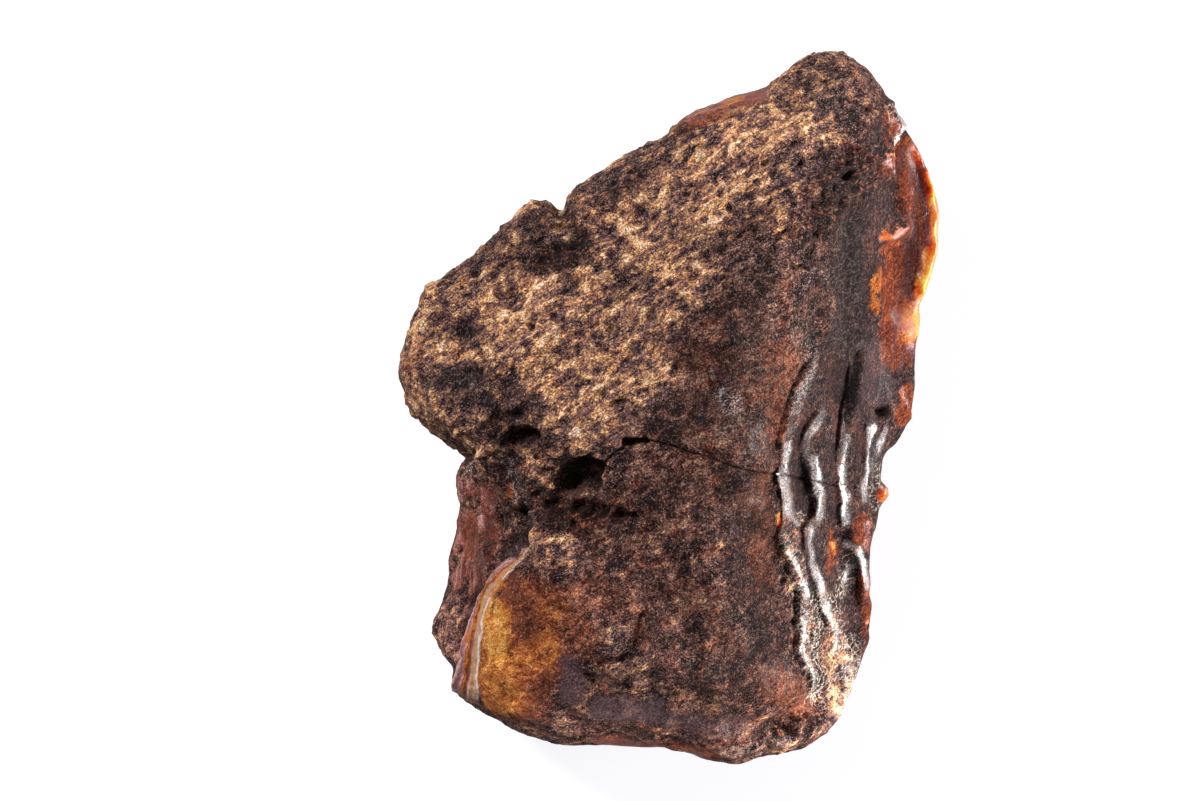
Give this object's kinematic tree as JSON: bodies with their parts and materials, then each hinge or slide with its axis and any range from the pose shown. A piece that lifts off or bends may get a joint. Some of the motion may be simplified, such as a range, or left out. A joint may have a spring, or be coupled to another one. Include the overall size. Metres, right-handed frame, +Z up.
{
  "type": "raw amber piece",
  "caption": "Natural lump of raw amber with a pitted, grainy weathered crust, glassy broken edges and a thin translucent flange, lying on its broad back.",
  "frame": {"origin": "on the ground under the middle of the lump's box", "axes": "+Y along the lump towards its knobbed end, +X towards the folded flank and thin flange, +Z up out of the weathered front"},
  "size_m": [0.054, 0.072, 0.03],
  "materials": {
    "amber": "see-through orange to red-brown amber under a rough, grainy weathered crust of dark brown with ochre grains, with polished folds and thin glowing edges"
  },
  "bodies": {
    "root": {"amber": "amber"}
  },
  "joints": []
}
